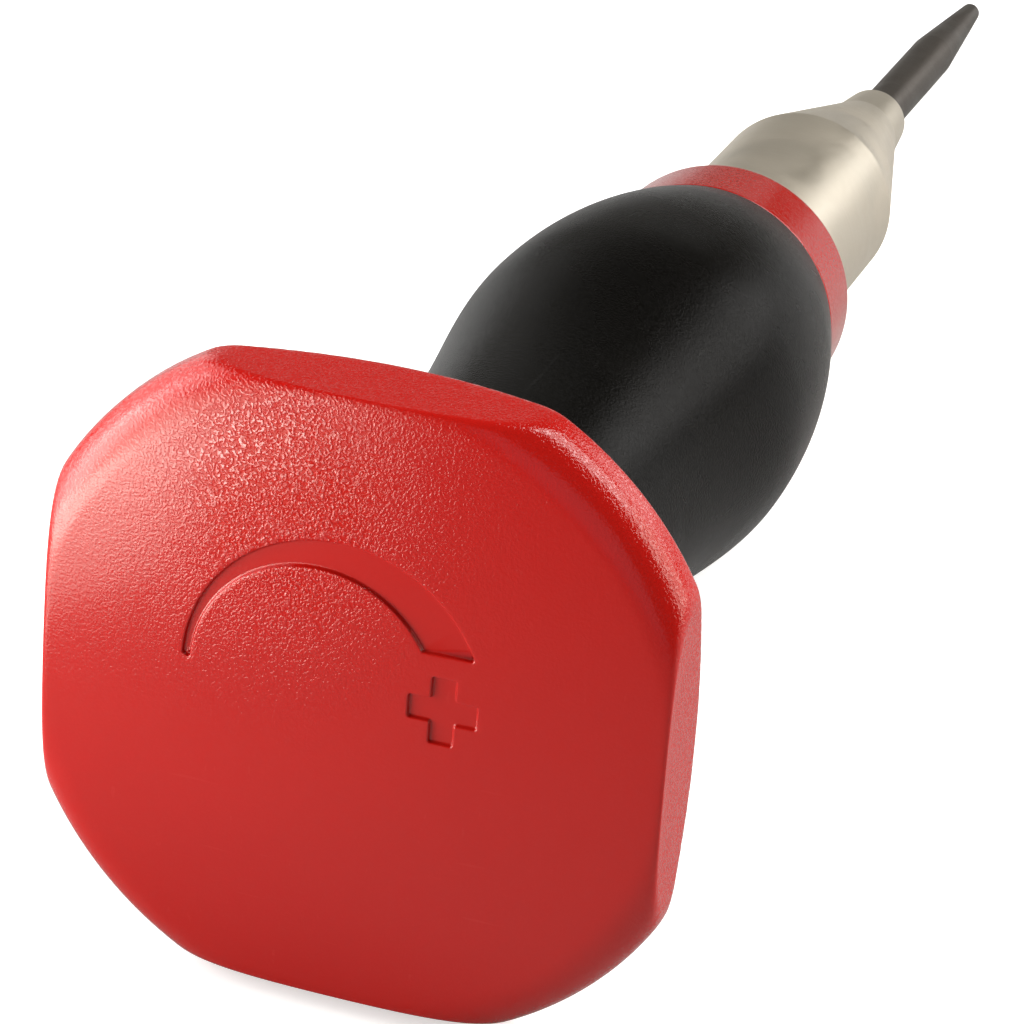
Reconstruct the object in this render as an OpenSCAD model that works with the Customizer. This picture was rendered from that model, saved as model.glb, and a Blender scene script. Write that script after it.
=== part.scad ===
// Automatic center punch. Pressing the tool down on its point lifts a hammer against a
// spring until a trip pin lets it go, and the blow marks the work.
// The tool lies along Y with the tip of its point at the origin: +Y points out of the
// tip, +Z is up through one flat of the palm cap. Sizes are in millimetres.

/* [Palm cap] */
// Diameter over the round corners
cap_d = 40; // [37:0.5:46]
// Distance across two opposite flats, at the cap's widest plane
cap_flats_w = 35.5; // [33:0.1:37]
// Height from the back edge to the middle of the face
cap_h = 9; // [8.5:0.1:12]
// Rise of the face in its middle
cap_dome = 0.65; // [0.2:0.05:1.5]
// Radius of the rounded rim
cap_rim_r = 2.4; // [1:0.1:3]
// Height of the straight side below the rim
cap_band = 1; // [0.4:0.1:2]
// Diameter of the cap's back edge, next to the grip
cap_back_d = 27; // [23:0.5:31]
// Draft of the flats, in degrees
cap_draft = 3; // [0:0.5:6]
// Plastic left between the face and the screw's head
cap_crown = 2.2; // [1.6:0.1:3]
// Depth of the well in the cap's back
cap_well_depth = 5.5; // [5:0.1:6]
// Gap between the cap and the grip at the stored setting
cap_gap = 1.6; // [1.5:0.1:3]
// Diameter of the hub that holds the screw's head
hub_d = 12; // [11.4:0.1:12.4]

/* [Adjusting screw] */
// Thread diameter
screw_d = 8; // [7:0.1:8.4]
// Thread pitch
screw_pitch = 1.25; // [0.75:0.05:1.25]
// Turns left towards the hardest blow
turns_in = 1; // [0.5:0.5:1]
// Turns left towards the lightest blow
turns_out = 2; // [1:0.5:2]
// Width across the flats of the head
head_w = 8.6; // [8.4:0.1:9]
// Height of the head
head_len = 4; // [2:0.1:4]

/* [Grip] */
// Length of the soft sleeve
grip_len = 53.8; // [50:0.1:64]
// Diameter of the belly
grip_belly_d = 22.9; // [21:0.1:28]
// Diameter of the waist behind the cap
grip_waist_d = 18.4; // [17.8:0.1:21]
// Diameter of the front edge, flush with the ring
grip_front_d = 18; // [17.4:0.1:20.5]
// Distance from the front edge to the belly
grip_belly_at = 15.7; // [11:0.1:19]
// Distance from the front edge to the waist
grip_waist_at = 46.8; // [42:0.1:49]
// How late the waist swells into the belly
grip_swell = 1.9; // [1:0.1:2.5]
// Radius of the rear edge
grip_edge_r = 0.9; // [0.3:0.1:1.1]

/* [Handle core] */
// Diameter under the grip
core_d = 16; // [15.4:0.1:16.6]
// Length of the ring that shows in front of the grip
ring_len = 6.3; // [3:0.1:8]
// Diameter of the ring's front face
ring_front_d = 17.1; // [15.6:0.1:18]
// Radius of the ring's front edge
ring_edge_r = 0.8; // [0.3:0.1:1]
// Depth of the grooves that key the sleeve to the core and the core to the barrel
key_depth = 0.45; // [0.2:0.05:0.6]
// Width of these grooves
key_w = 3; // [1:0.1:4]

/* [Nose] */
// Diameter of the straight part
nose_d = 13; // [12:0.1:13.5]
// Length of the straight part
nose_cyl_len = 18.7; // [16:0.1:26]
// Length of the cone
nose_cone_len = 15.7; // [14:0.1:20]
// Length of the slim neck at the end
nose_neck_len = 4.6; // [3:0.1:8]
// Diameter where the cone meets the neck
nose_neck_d = 5.7; // [5.2:0.1:6.2]
// Diameter of the front end
nose_end_d = 4.8; // [4.2:0.1:5.4]

/* [Punch point] */
// Diameter of the shank
point_d = 3.3; // [2.6:0.1:3.5]
// Length that stands out of the nose
point_out = 32; // [24:0.1:36]
// Length of the tapered part, with the tip
point_taper_len = 14.3; // [10:0.1:18]
// Diameter at the root of the tip
point_end_d = 1.5; // [1:0.1:2.4]
// Angle of the tip, in degrees
point_angle = 60; // [40:5:90]
// Depth of the point's seat in the spindle
socket_len = 9; // [6:0.5:10]

/* [Striking mechanism] */
// Travel of the point from rest to the release of the hammer
stroke = 8; // [5:0.5:9]
// Bore in which the collar, the hammer and the springs run
bore_d = 9.2; // [9:0.1:9.6]
// Outer diameter of the barrel
barrel_d = 13; // [12.6:0.1:13.2]
// Spindle diameter
spindle_d = 4.6; // [4.4:0.1:4.8]
// Length of the spindle in front of its collar
spindle_len = 12.5; // [12:0.1:13]
// Thickness of the spindle's collar
collar_len = 4; // [3.5:0.1:6]
// Outer diameter of the guide bush
bush_d = 6.6; // [6:0.1:7]
// Length of the guide bush
bush_len = 8; // [5:0.1:8]
// Diameter of the trip pin's thick part
pin_d = 4.8; // [4.4:0.1:5]
// Diameter of the trip pin's thin end
pin_end_d = 2.5; // [2.2:0.1:2.6]
// Sideways lean of the trip pin's end while the tool is at rest
pin_lean = 1; // [0.8:0.05:1.1]
// Thickness of the centring ring
centring_len = 2; // [1.8:0.1:3]
// Length of the hammer's body
hammer_len = 15; // [12:0.5:16]
// Wire of the main spring
main_wire = 1.2; // [0.8:0.1:1.3]
// Turns of the main spring
main_turns = 8; // [6:1:9]
// Wire of the return spring
return_wire = 0.7; // [0.5:0.1:0.7]
// Turns of the return spring
return_turns = 9; // [6:1:11]
// Wire of the tilt spring
tilt_wire = 0.5; // [0.4:0.05:0.5]
// Turns of the tilt spring
tilt_turns = 3.5; // [3:0.5:4]

/* [Clearances] */
// Radial clearance of sliding fits
slide_fit = 0.06; // [0.02:0.01:0.08]
// Radial clearance of threads and seats inside one assembly
seat_fit = 0.02; // [0.01:0.01:0.05]
// Gap between faces that move apart
face_gap = 0.25; // [0.15:0.05:0.3]
// Radial gap between the cap's well and the core
well_gap = 0.35; // [0.25:0.05:0.5]

/* [Hidden] */
$fn = 96;

// Stations along the axis, from the tip to the face of the cap
t_nose = point_out;
t_cone = t_nose + nose_neck_len;
t_cyl = t_cone + nose_cone_len;
t_core = t_cyl + nose_cyl_len;
t_grip = t_core + ring_len;
t_grip_end = t_grip + grip_len;
t_cap = t_grip_end + cap_gap;
t_top = t_cap + cap_h;

// Nose, barrel and what they clamp between them
tenon_len = 2.6;
tenon_step = 0.4;
spigot_len = 4;
spigot_d = (bore_d + barrel_d) / 2;
nose_chamfer = 0.3;
bore_setback = 1.7;
t_bore = t_cyl - bore_setback;
t_barrel = t_core + tenon_len;
t_ring = t_barrel + spigot_len;
t_ring_end = t_ring + centring_len;

// Spindle, with the pocket in which the trip pin stands
contact_gap = 0.05;
t_spindle = t_bore - spindle_len;
t_collar = t_bore + contact_gap;
t_collar_end = t_collar + collar_len;
pocket_depth = 2.4;
pocket_room = 0.5;
foot_gap = 0.1;
t_foot = t_collar_end - pocket_depth;

// Trip pin, leaning about its foot, and the lead-in that sets it upright
lead_len = 1.2;
lead_flare = 1.2;
lead_over = 0.1;
t_shoulder = t_ring + lead_len + lead_over - stroke;
shoulder_len = 1.5;
t_pin_end = t_ring_end - 2 * contact_gap;
pin_len = t_pin_end - t_foot;
lean_angle = asin(pin_lean / pin_len);
foot_chamfer = 0.6;
pin_collar_at = 8.4;
pin_collar_len = 1;
pin_collar_d = pin_d + 1.6;

// Hammer
t_hammer = t_ring_end + contact_gap;
t_hammer_end = t_hammer + hammer_len;
hammer_hole_d = pin_end_d + 0.6;
hammer_hole_len = stroke + 2 * face_gap;
hammer_edge = 0.5;
pilot_len = 3;
spring_room = 0.4;
main_mean_d = bore_d - 0.6 - main_wire;
pilot_d = main_mean_d - main_wire - 2 * spring_room;

// Rear end of the barrel, plug and adjusting screw
barrel_setback = 0.5;
plug_len = 6;
plug_flange_len = 2.5;
plug_slot_w = 1.4;
plug_slot_depth = 1;
t_barrel_end = t_grip_end - barrel_setback;
t_plug = t_barrel_end - plug_len;
t_plug_end = t_barrel_end + plug_flange_len;
travel_in = turns_in * screw_pitch;
travel_out = turns_out * screw_pitch;
clip_len = 0.8;
clip_end = 1;
clip_groove = 0.8;
clip_gap_w = 3.2;
clip_d = bore_d - 2 * face_gap;
t_clip = t_plug - travel_out - face_gap - clip_len;
t_screw = t_clip - clip_end;
t_head_end = t_top - cap_crown;
t_head = t_head_end - head_len;
washer_len = 0.8;
t_washer = t_screw - washer_len - contact_gap;
seat_flange_len = 1.6;
seat_pilot_len = 3;
t_seat = t_washer - seat_flange_len;

// Back of the cap and the drag ring in it
t_well = t_cap + cap_well_depth;
t_core_end = t_well - travel_in - face_gap;
t_hub = t_plug_end + travel_in + face_gap;
drag_wire = 1.5;
drag_at = 1.3;
t_drag = t_cap + drag_at;
drag_mean_d = core_d + 2 * slide_fit + drag_wire;
cap_back_edge = 0.5;
t_band = t_top - cap_dome - cap_rim_r - cap_band;

// Grooves that key plastic to metal and rubber to plastic
core_keys = [for (i = [1:3]) t_grip + grip_len * i / 4];
barrel_keys = [for (i = [1:2]) t_barrel + (t_plug - t_barrel) * i / 3];

// Finish colours
cap_red = [0.78, 0.10, 0.09];
grip_black = [0.08, 0.08, 0.08];
nickel = [0.78, 0.75, 0.70];
dark_steel = [0.28, 0.26, 0.25];
bright_steel = [0.66, 0.67, 0.68];
spring_steel = [0.50, 0.51, 0.53];
bronze = [0.72, 0.53, 0.30];

// Lays a piece that is drawn upwards along Z down along the tool's axis
module lay() {
  rotate([90, 0, 0])
    children();
}

// Solid of revolution from a profile of [radius, station] points
module turned(profile) {
  rotate_extrude()
    polygon(profile);
}

// Round bar between two stations
module bar(d, from, to) {
  translate([0, 0, from])
    cylinder(d = d, h = to - from);
}

// Round bar with a hole right through
module tube(outer_d, inner_d, from, to) {
  difference() {
    bar(outer_d, from, to);
    bar(inner_d, from - 1, to + 1);
  }
}

// Points of a quarter arc from its outermost radius inwards, in steps of 15 degrees
function rim_arc(centre_r, centre_t, r, side) =
  [for (a = [0:15:90]) [centre_r + r * cos(a), centre_t + side * r * sin(a)]];

// Station of a spring's centre line after some turns, with closer turns at both ends
function coil_rise(turn, turns, height, end_pitch) =
  turn < 1 ? end_pitch * turn :
  turn > turns - 1 ? height - end_pitch * (turns - turn) :
  end_pitch + (height - 2 * end_pitch) * (turn - 1) / (turns - 2);

coil_rings = 8;
coil_sides = 6;
coil_end_gap = 0.5;

// Centre line of a spring between two stations, from one mean diameter to another
function coil_path(from, to, d_from, d_to, wire, turns) = [
  for (i = [0:turns * coil_rings])
    let (
      turn = i / coil_rings,
      r = (d_from + (d_to - d_from) * turn / turns) / 2,
      rise = coil_rise(turn, turns, to - from - wire, wire + coil_end_gap)
    )
    [r * cos(360 * turn), r * sin(360 * turn), from + wire / 2 + rise]
];

// Least gap between two turns of a spring, measured from point to point
function coil_gap(path, wire) = min([
  for (i = [0:len(path) - 1])
    for (j = [i + coil_rings / 2:1:len(path) - 1])
      norm(path[i] - path[j]) - wire
]);

// One unbroken round wire swept along a path that winds about Z
module wire_along(path, wire) {
  last = len(path) - 1;
  rings = [
    for (i = [0:last])
      let (
        run = path[min(i + 1, last)] - path[max(i - 1, 0)],
        out = [path[i][0], path[i][1], 0],
        side = cross(run, out) / norm(cross(run, out)),
        up = cross(side, run) / norm(cross(side, run))
      )
      for (k = [0:coil_sides - 1])
        path[i] + wire / 2 * (up * cos(360 * k / coil_sides) + side * sin(360 * k / coil_sides))
  ];
  walls = [
    for (i = [0:last - 1])
      for (k = [0:coil_sides - 1])
        let (
          a = i * coil_sides + k,
          b = i * coil_sides + (k + 1) % coil_sides
        )
        each [[a, a + coil_sides, b], [b, a + coil_sides, b + coil_sides]]
  ];
  first_cap = [for (k = [1:coil_sides - 2]) [0, k, k + 1]];
  end = last * coil_sides;
  last_cap = [for (k = [1:coil_sides - 2]) [end, end + k + 1, end + k]];
  polyhedron(points = rings, faces = concat(walls, first_cap, last_cap), convexity = 10);
}

// Hardened point: a plain shank, a slim taper and a ground tip
module punch_point() {
  tip_len = point_end_d / 2 / tan(point_angle / 2);
  color(dark_steel)
    turned([
      [0, 0],
      [point_end_d / 2, tip_len],
      [point_d / 2, point_taper_len],
      [point_d / 2, t_spindle + socket_len - contact_gap],
      [0, t_spindle + socket_len - contact_gap]
    ]);
}

// Spindle: carries the point in front and the trip pin in a pocket behind its collar
module spindle() {
  pocket_d = pin_d + 2 * pocket_room;
  color(bright_steel)
    difference() {
      union() {
        bar(spindle_d, t_spindle, t_collar + 1);
        bar(bore_d - 2 * slide_fit, t_collar, t_collar_end);
      }
      bar(point_d + 2 * seat_fit, t_spindle - 1, t_spindle + socket_len);
      bar(pocket_d, t_foot - foot_gap, t_collar_end + 1);
    }
}

// Leans what stands on the spindle's pocket sideways about the trip pin's foot
module leaning() {
  translate([0, 0, t_foot])
    rotate([0, lean_angle, 0])
      children();
}

// Trip pin: thick below, thin above, with a cone between and a collar for its spring
module trip_pin() {
  shoulder_at = t_shoulder - t_foot;
  color(bright_steel)
    leaning()
      turned([
        [0, 0],
        [pin_d / 2 - foot_chamfer, 0],
        [pin_d / 2, foot_chamfer],
        [pin_d / 2, pin_collar_at],
        [pin_collar_d / 2, pin_collar_at],
        [pin_collar_d / 2, pin_collar_at + pin_collar_len],
        [pin_d / 2, pin_collar_at + pin_collar_len],
        [pin_d / 2, shoulder_at],
        [pin_end_d / 2, shoulder_at + shoulder_len],
        [pin_end_d / 2, pin_len],
        [0, pin_len]
      ]);
}

// Small conical spring that pushes the trip pin over
tilt_foot_d = pin_d + 1.9;
tilt_top_d = pin_d + 0.9;
tilt_path = coil_path(
  pocket_depth + 3 * foot_gap, pin_collar_at - foot_gap,
  tilt_foot_d, tilt_top_d, tilt_wire, tilt_turns
);

module tilt_spring() {
  echo(tilt_spring_least_gap = coil_gap(tilt_path, tilt_wire));
  color(spring_steel)
    leaning()
      wire_along(tilt_path, tilt_wire);
}

// Hammer: its hole drops over the trip pin's thin end when the pin stands upright
module hammer() {
  hammer_r = bore_d / 2 - slide_fit;
  color(bright_steel)
    difference() {
      turned([
        [0, t_hammer],
        [hammer_r - hammer_edge, t_hammer],
        [hammer_r, t_hammer + hammer_edge],
        [hammer_r, t_hammer_end],
        [pilot_d / 2, t_hammer_end],
        [pilot_d / 2, t_hammer_end + pilot_len - hammer_edge],
        [pilot_d / 2 - hammer_edge, t_hammer_end + pilot_len],
        [0, t_hammer_end + pilot_len]
      ]);
      bar(hammer_hole_d, t_hammer - 1, t_hammer + hammer_hole_len);
    }
}

// Main spring, between the hammer and the spring seat
main_path = coil_path(
  t_hammer_end + contact_gap, t_seat - contact_gap,
  main_mean_d, main_mean_d, main_wire, main_turns
);

module main_spring() {
  echo(main_spring_least_gap = coil_gap(main_path, main_wire));
  color(spring_steel)
    wire_along(main_path, main_wire);
}

// Return spring, between the spindle's collar and the centring ring
return_mean_d = bore_d - 0.3 - return_wire;
return_path = coil_path(
  t_collar_end + contact_gap, t_ring - contact_gap,
  return_mean_d, return_mean_d, return_wire, return_turns
);

module return_spring() {
  echo(return_spring_least_gap = coil_gap(return_path, return_wire));
  color(spring_steel)
    wire_along(return_path, return_wire);
}

// Centring ring: its flared mouth sets the trip pin upright at the end of the stroke
module centring_ring() {
  hole_r = pin_d / 2 + slide_fit;
  color(bright_steel)
    turned([
      [hole_r + lead_flare, t_ring],
      [spigot_d / 2, t_ring],
      [spigot_d / 2, t_ring_end],
      [hole_r, t_ring_end],
      [hole_r, t_ring + lead_len]
    ]);
}

// Guide bush for the spindle, pressed into the nose
module guide_bush() {
  color(bronze)
    tube(bush_d, spindle_d + 2 * slide_fit, t_bore - bush_len, t_bore);
}

// Nose: straight sleeve, cone and neck, with a threaded spigot for the barrel
module nose() {
  color(nickel)
    difference() {
      turned([
        [0, t_nose],
        [nose_end_d / 2 - nose_chamfer, t_nose],
        [nose_end_d / 2, t_nose + nose_chamfer],
        [nose_neck_d / 2, t_cone],
        [nose_d / 2, t_cyl],
        [nose_d / 2, t_core],
        [nose_d / 2 - tenon_step, t_core],
        [nose_d / 2 - tenon_step, t_barrel],
        [spigot_d / 2, t_barrel],
        [spigot_d / 2, t_ring],
        [0, t_ring]
      ]);
      bar(point_d + 2 * slide_fit, t_nose - 1, t_spindle);
      bar(spindle_d + 4 * slide_fit, t_spindle - face_gap, t_bore);
      bar(bush_d + 2 * seat_fit, t_bore - bush_len, t_bore + 1);
      bar(bore_d, t_bore, t_ring + 1);
    }
}

// Steel tube that the hammer and the main spring run in
module barrel() {
  thread_d = spigot_d + 2 * seat_fit;
  color(bright_steel)
    difference() {
      tube(barrel_d, bore_d, t_barrel, t_barrel_end);
      bar(thread_d, t_barrel - 1, t_ring_end);
      bar(thread_d, t_plug, t_barrel_end + 1);
      for (at = barrel_keys)
        tube(barrel_d + 1, barrel_d - 2 * key_depth, at - key_w / 2, at + key_w / 2);
    }
}

// Plug that closes the barrel and carries the adjusting screw
module rear_plug() {
  color(bright_steel)
    difference() {
      union() {
        bar(spigot_d, t_plug, t_barrel_end + 1);
        bar(barrel_d, t_barrel_end, t_plug_end);
      }
      bar(screw_d, t_plug - 1, t_plug_end + 1);
      translate([-barrel_d, -plug_slot_w / 2, t_plug_end - plug_slot_depth])
        cube([2 * barrel_d, plug_slot_w, plug_slot_depth + 1]);
    }
}

// Outside of the core where the sleeve is moulded on, with its key grooves
module core_bed(grow, from, to) {
  difference() {
    bar(core_d + 2 * grow, from, to);
    for (at = core_keys)
      tube(
        core_d + 2, core_d - 2 * key_depth + 2 * grow,
        at - key_w / 2 + grow, at + key_w / 2 - grow
      );
  }
}

// Hard core of the handle: its front end shows as a ring, its rear end enters the cap
module handle_core() {
  ring_r = ring_front_d / 2;
  bore_r = barrel_d / 2 + seat_fit;
  color(cap_red)
    difference() {
      union() {
        turned(concat(
          [[0, t_grip], [grip_front_d / 2, t_grip]],
          rim_arc(ring_r - ring_edge_r, t_core + ring_edge_r, ring_edge_r, -1),
          [[0, t_core]]
        ));
        core_bed(0, t_core + ring_edge_r, t_core_end);
      }
      bar(nose_d - 2 * tenon_step + 2 * seat_fit, t_core - 1, t_barrel + 1);
      difference() {
        bar(2 * bore_r, t_barrel, t_core_end + 1);
        for (at = barrel_keys)
          tube(
            barrel_d + 2, 2 * (bore_r - key_depth),
            at - key_w / 2 + seat_fit, at + key_w / 2 - seat_fit
          );
      }
    }
}

// Radius of the grip at a distance from its front edge
function grip_r(at) =
  at < grip_belly_at ? grip_front_swell(1 - at / grip_belly_at) :
  at < grip_waist_at ? grip_rear_swell((grip_waist_at - at) / (grip_waist_at - grip_belly_at)) :
  grip_waist_d / 2;
function grip_front_swell(x) = (grip_belly_d - (grip_belly_d - grip_front_d) * pow(x, 2)) / 2;
function smooth(x) = x * x * (3 - 2 * x);
function grip_rear_swell(x) =
  (grip_waist_d + (grip_belly_d - grip_waist_d) * smooth(pow(x, grip_swell))) / 2;
grip_steps = 48;

// Soft sleeve: slim waist behind the cap, full belly, drawn in to the ring
module grip_sleeve() {
  straight_len = grip_len - grip_edge_r;
  rear_r = grip_r(straight_len);
  color(grip_black)
    difference() {
      turned(concat(
        [[0, t_grip]],
        [for (i = [0:grip_steps]) [
          grip_r(straight_len * i / grip_steps),
          t_grip + straight_len * i / grip_steps
        ]],
        [for (p = rim_arc(rear_r - grip_edge_r, t_grip_end - grip_edge_r, grip_edge_r, 1)) p],
        [[0, t_grip_end]]
      ));
      core_bed(seat_fit, t_grip - 1, t_grip_end + 1);
    }
}

// Cup that the main spring pushes against, moved along by the screw
module spring_seat() {
  color(bright_steel) {
    bar(bore_d - 2 * slide_fit, t_seat, t_washer);
    bar(pilot_d, t_seat - seat_pilot_len, t_seat + 1);
  }
}

// Washer between the turning screw and the spring seat
module thrust_washer() {
  color(bronze)
    tube(bore_d - 2 * face_gap, screw_d / 2, t_washer, t_washer + washer_len);
}

// Adjusting screw: threaded shank with a clip groove, hexagon head held in the cap's hub
module adjusting_screw() {
  shank_d = screw_d - 2 * slide_fit;
  color(bright_steel)
    difference() {
      union() {
        bar(shank_d, t_screw, t_head + 1);
        translate([0, 0, t_head])
          cylinder(d = head_w / cos(30), h = head_len, $fn = 6);
      }
      tube(shank_d + 1, shank_d - 2 * clip_groove, t_clip - seat_fit, t_clip + clip_len + seat_fit);
    }
}

// Open clip that stops the screw from being turned right out
module retaining_clip() {
  groove_d = screw_d - 2 * slide_fit - 2 * clip_groove;
  color(spring_steel)
    difference() {
      tube(clip_d, groove_d + 2 * seat_fit, t_clip, t_clip + clip_len);
      translate([0, -clip_gap_w / 2, t_clip - 1])
        cube([clip_d, clip_gap_w, clip_len + 2]);
    }
}

// Rubber ring in the cap's skirt that holds the setting by drag
module drag_ring() {
  color(grip_black)
    translate([0, 0, t_drag])
      rotate_extrude()
        translate([drag_mean_d / 2, 0])
          circle(d = drag_wire, $fn = 24);
}

// Plane cut that makes one flat, leaning in towards the face by the draft
module flat_cut() {
  translate([cap_flats_w / 2, 0, t_band])
    rotate([0, -cap_draft, 0])
      translate([0, -cap_d, -cap_d])
        cube([cap_d, 2 * cap_d, 2 * cap_d]);
}

// Palm cap: round, low domed disc with four flats, turned by hand to set the blow
module palm_cap() {
  rim_in_r = cap_d / 2 - cap_rim_r;
  face_steps = 8;
  groove_w = drag_wire + 2 * seat_fit;
  color(cap_red)
    difference() {
      turned(concat(
        [
          [0, t_cap],
          [cap_back_d / 2 - cap_back_edge, t_cap],
          [cap_back_d / 2, t_cap + cap_back_edge],
          [cap_d / 2, t_band]
        ],
        rim_arc(rim_in_r, t_top - cap_dome - cap_rim_r, cap_rim_r, 1),
        [for (i = [face_steps - 1:-1:0])
          let (x = i / face_steps)
          [rim_in_r * x, t_top - cap_dome * x * x]
        ]
      ));
      for (a = [0:90:270])
        rotate([0, 0, a])
          flat_cut();
      difference() {
        bar(core_d + 2 * well_gap, t_cap - 1, t_well);
        bar(hub_d, t_hub, t_well + 1);
      }
      tube(
        drag_mean_d + groove_w, core_d,
        t_drag - groove_w / 2, t_drag + groove_w / 2
      );
      bar(screw_d, t_hub - 1, t_head);
      translate([0, 0, t_head - seat_fit])
        cylinder(d = (head_w + 2 * seat_fit) / cos(30), h = head_len + 2 * seat_fit, $fn = 6);
    }
}

lay() punch_point();
lay() spindle();
lay() trip_pin();
lay() tilt_spring();
lay() hammer();
lay() main_spring();
lay() return_spring();
lay() centring_ring();
lay() guide_bush();
lay() nose();
lay() barrel();
lay() rear_plug();
lay() handle_core();
lay() grip_sleeve();
lay() spring_seat();
lay() thrust_washer();
lay() adjusting_screw();
lay() retaining_clip();
lay() drag_ring();
lay() palm_cap();
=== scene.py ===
import math

import bmesh
import bpy
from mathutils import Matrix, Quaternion, Vector
from mathutils.geometry import delaunay_2d_cdt


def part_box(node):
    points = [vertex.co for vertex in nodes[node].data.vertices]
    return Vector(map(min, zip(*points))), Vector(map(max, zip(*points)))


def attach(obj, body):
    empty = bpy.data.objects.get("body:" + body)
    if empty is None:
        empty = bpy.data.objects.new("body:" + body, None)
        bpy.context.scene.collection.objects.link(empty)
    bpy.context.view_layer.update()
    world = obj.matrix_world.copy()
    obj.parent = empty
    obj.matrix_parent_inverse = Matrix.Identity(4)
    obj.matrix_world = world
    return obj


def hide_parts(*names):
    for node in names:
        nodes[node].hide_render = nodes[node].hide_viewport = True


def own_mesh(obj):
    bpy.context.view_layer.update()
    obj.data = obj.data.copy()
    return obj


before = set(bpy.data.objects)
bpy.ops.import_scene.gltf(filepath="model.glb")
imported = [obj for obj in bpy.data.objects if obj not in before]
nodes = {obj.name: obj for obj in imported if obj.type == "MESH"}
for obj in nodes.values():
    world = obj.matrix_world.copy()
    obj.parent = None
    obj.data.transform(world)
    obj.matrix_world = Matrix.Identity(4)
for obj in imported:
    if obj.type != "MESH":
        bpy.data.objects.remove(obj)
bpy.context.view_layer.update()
mm = 0.001
tiny = 1e-6  # taken as nothing

# Pieces are drawn in mm: across the tool, and by station, which counts from the tip to the cap.


def stations(node):
    low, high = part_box(node)
    return -high.y / mm, -low.y / mm


def reach(node):
    return max(math.hypot(v.co.x, v.co.z) for v in nodes[node].data.vertices) / mm


tipAt, pointBack = stations("punch_point")
noseFront, noseBack = stations("nose")
coreFront, coreBack = stations("handle_core")
gripFront, gripBack = stations("grip_sleeve")
capBack, capFace = stations("palm_cap")
barrelFront, _ = stations("barrel")
bushFront, bushBack = stations("guide_bush")
spindleFront, _ = stations("spindle")
dragFront, dragBack = stations("drag_ring")
capRadius = reach("palm_cap")


# Mesh tools

meshPlan = {
    "arcShare": 0.49,  # the most of a side that an arc takes up
    "weld": 1e-7, "normalWeight": 80,
}


def rounded(corners, closed=False, steps=6):
    # corners are (a, b, radius); each comes back as an arc that touches both of its sides
    points = []
    count = len(corners)
    for i, (a, b, radius) in enumerate(corners):
        here = Vector((a, b))
        isEnd = not closed and i in (0, count - 1)
        if radius <= 0 or isEnd:
            points.append(here)
            continue
        before = Vector(corners[i - 1][:2]) - here
        after = Vector(corners[(i + 1) % count][:2]) - here
        half = before.angle(after) / 2
        most = meshPlan["arcShare"] * min(before.length, after.length)
        run = min(radius / math.tan(half), most)
        start = here + before.normalized() * run
        end = here + after.normalized() * run
        # a conic with the corner as its handle: an exact arc
        for k in range(steps + 1):
            s = k / steps
            weights = Vector(((1 - s) ** 2, 2 * s * (1 - s) * math.sin(half), s ** 2))
            weights /= sum(weights)
            points.append(start * weights[0] + here * weights[1] + end * weights[2])
    return points


def finishMesh(name, bm, material, body, replaced):
    bmesh.ops.remove_doubles(bm, verts=bm.verts, dist=meshPlan["weld"])
    bmesh.ops.recalc_face_normals(bm, faces=bm.faces)
    mesh = bpy.data.meshes.new(name)
    bm.to_mesh(mesh)
    bm.free()
    mesh.polygons.foreach_set("use_smooth", [True] * len(mesh.polygons))
    piece = bpy.data.objects.new(name, mesh)
    bpy.context.scene.collection.objects.link(piece)
    weighted = piece.modifiers.new("faceNormals", "WEIGHTED_NORMAL")
    weighted.weight = meshPlan["normalWeight"]
    mesh.materials.append(material)
    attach(piece, body)
    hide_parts(replaced)
    print("made", name, len(mesh.vertices), "points")
    return piece


def turnedRow(bm, radius, station, columns):
    angles = [2 * math.pi * k / columns for k in range(columns)]
    return [
        bm.verts.new((radius * math.cos(a) * mm, -station * mm, radius * math.sin(a) * mm))
        for a in angles
    ]


def joinRows(bm, rows):
    # a row of one point closes the form there
    for first, second in zip(rows, rows[1:]):
        for k in range(max(len(first), len(second))):
            ring = [
                first[k % len(first)],
                first[(k + 1) % len(first)],
                second[(k + 1) % len(second)],
                second[k % len(second)],
            ]
            face = list(dict.fromkeys(ring))
            if len(face) > 2:
                bm.faces.new(face)


def turn(profile, columns, closed=False):
    # turns a profile of (radius, station) points about the tool's axis
    bm = bmesh.new()
    rows = [turnedRow(bm, *point, columns if point[0] > tiny else 1) for point in profile]
    joinRows(bm, rows + rows[:1] if closed else rows)
    return bm


# Shader groups


def newGroup(name, inputs, outputs):
    group = bpy.data.node_groups.new(name, "ShaderNodeTree")
    for label, value in inputs.items():
        socket = group.interface.new_socket(label, in_out="INPUT", socket_type="NodeSocketFloat")
        socket.default_value = value
    for label in outputs:
        group.interface.new_socket(label, in_out="OUTPUT", socket_type="NodeSocketFloat")
    return group, put(group, "NodeGroupInput"), put(group, "NodeGroupOutput")


def put(tree, kind, values=None, **settings):
    node = tree.nodes.new(kind)
    for name, value in settings.items():
        setattr(node, name, value)
    for name, value in (values or {}).items():
        node.inputs[name].default_value = value
    return node


def wire(tree, *ends):
    for source, target in zip(ends[::2], ends[1::2]):
        tree.links.new(source, target)


def sums(tree, operation, first, second):
    node = put(tree, "ShaderNodeMath", operation=operation)
    for socket, value in zip(node.inputs, (first, second)):
        if isinstance(value, (int, float)):
            socket.default_value = value
        else:
            tree.links.new(value, socket)
    return node.outputs[0]


def spread(tree, value, low, high, toLow=0.0, toHigh=1.0):
    node = put(tree, "ShaderNodeMapRange", {
        "From Min": low, "From Max": high, "To Min": toLow, "To Max": toHigh,
    })
    tree.links.new(value, node.inputs["Value"])
    return node.outputs["Result"]


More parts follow.
